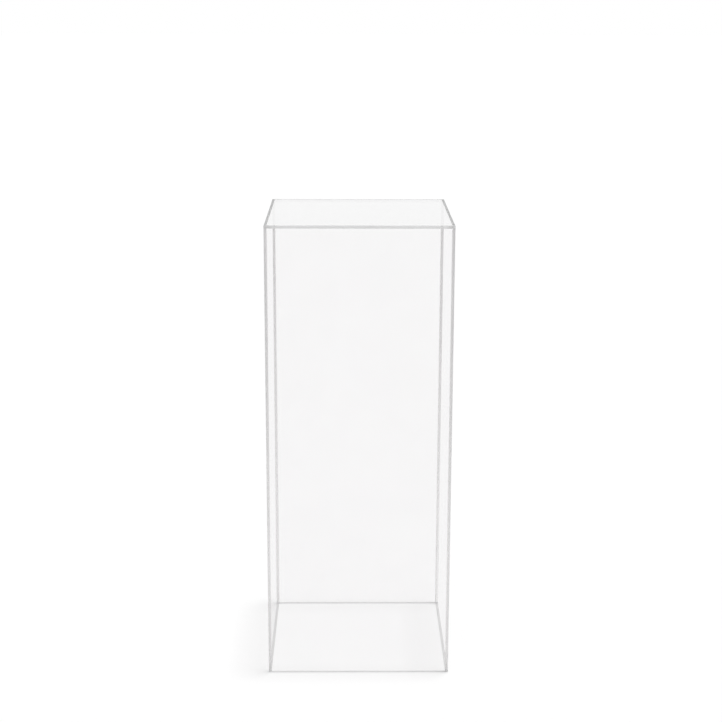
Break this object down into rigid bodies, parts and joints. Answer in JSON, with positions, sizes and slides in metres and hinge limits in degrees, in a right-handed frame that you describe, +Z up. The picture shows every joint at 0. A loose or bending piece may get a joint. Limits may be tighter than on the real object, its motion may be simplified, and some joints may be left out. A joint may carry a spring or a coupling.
{
  "type": "acrylic display pedestal",
  "caption": "Tall square display pedestal of clear acrylic panels cemented into a hollow box, open underneath, with a flat top for showing goods.",
  "frame": {"origin": "middle of the footprint, on the floor", "axes": "+Z up, -Y towards the front, +X to the right seen from the front"},
  "size_m": [0.3048, 0.3048, 0.7667],
  "materials": {
    "clear_acrylic": "cast sheet, polished faces, scraped and eased edges",
    "acrylic_cement": "cured clear cement with a faint haze"
  },
  "bodies": {
    "root": {"top_panel": "clear_acrylic", "front_panel": "clear_acrylic", "back_panel": "clear_acrylic", "left_panel": "clear_acrylic", "right_panel": "clear_acrylic", "cement_top_front": "acrylic_cement", "cement_top_back": "acrylic_cement", "cement_top_left": "acrylic_cement", "cement_top_right": "acrylic_cement", "cement_front_left": "acrylic_cement", "cement_front_right": "acrylic_cement", "cement_back_left": "acrylic_cement", "cement_back_right": "acrylic_cement"}
  },
  "joints": []
}
